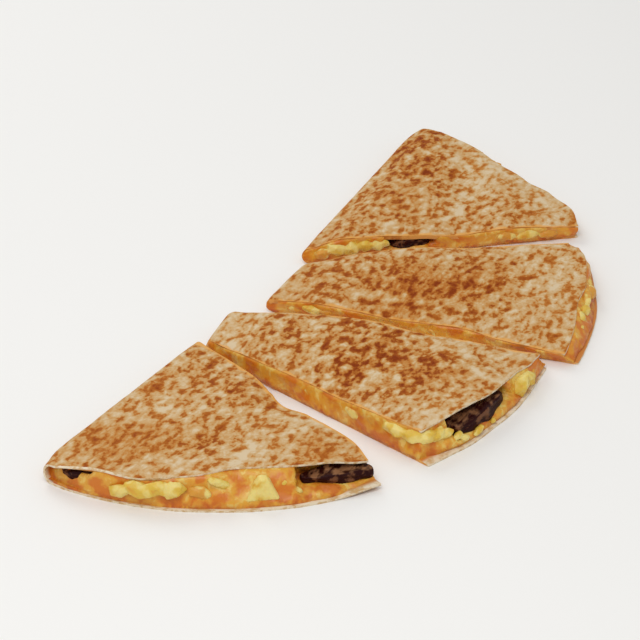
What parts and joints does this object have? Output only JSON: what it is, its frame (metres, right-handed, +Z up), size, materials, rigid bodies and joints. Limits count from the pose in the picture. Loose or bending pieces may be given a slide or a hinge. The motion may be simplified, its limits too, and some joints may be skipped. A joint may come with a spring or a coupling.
{
  "type": "quesadilla",
  "caption": "Griddled flour tortilla folded over melted cheese, scrambled egg and steak and cut into wedges that lie spread as a half moon, for serving on a plate.",
  "frame": {"origin": "bottom centre of the bounding box, on the surface that the slices lie on", "axes": "+X along the fold from the first slice's tip to the last slice's, +Y from the round rim to the fold, +Z up"},
  "size_m": [0.2794, 0.1312, 0.0116],
  "materials": {
    "tortilla": "dry floury wheat tortilla, cream with brown griddle marks",
    "cheese": "melted orange cheese, glossy",
    "egg": "soft scrambled egg, moist",
    "steak": "seared steak strips, dark brown and fibrous"
  },
  "bodies": {
    "root": {"tortilla_1": "tortilla", "tortilla_2": "tortilla", "tortilla_3": "tortilla", "tortilla_4": "tortilla", "cheese_1": "cheese", "cheese_2": "cheese", "cheese_3": "cheese", "cheese_4": "cheese", "egg_1": "egg", "egg_1_chunk": "egg", "egg_2": "egg", "egg_3": "egg", "egg_4": "egg", "steak_1_left": "steak", "steak_1_right": "steak", "steak_2": "steak", "steak_4": "steak"}
  },
  "joints": []
}
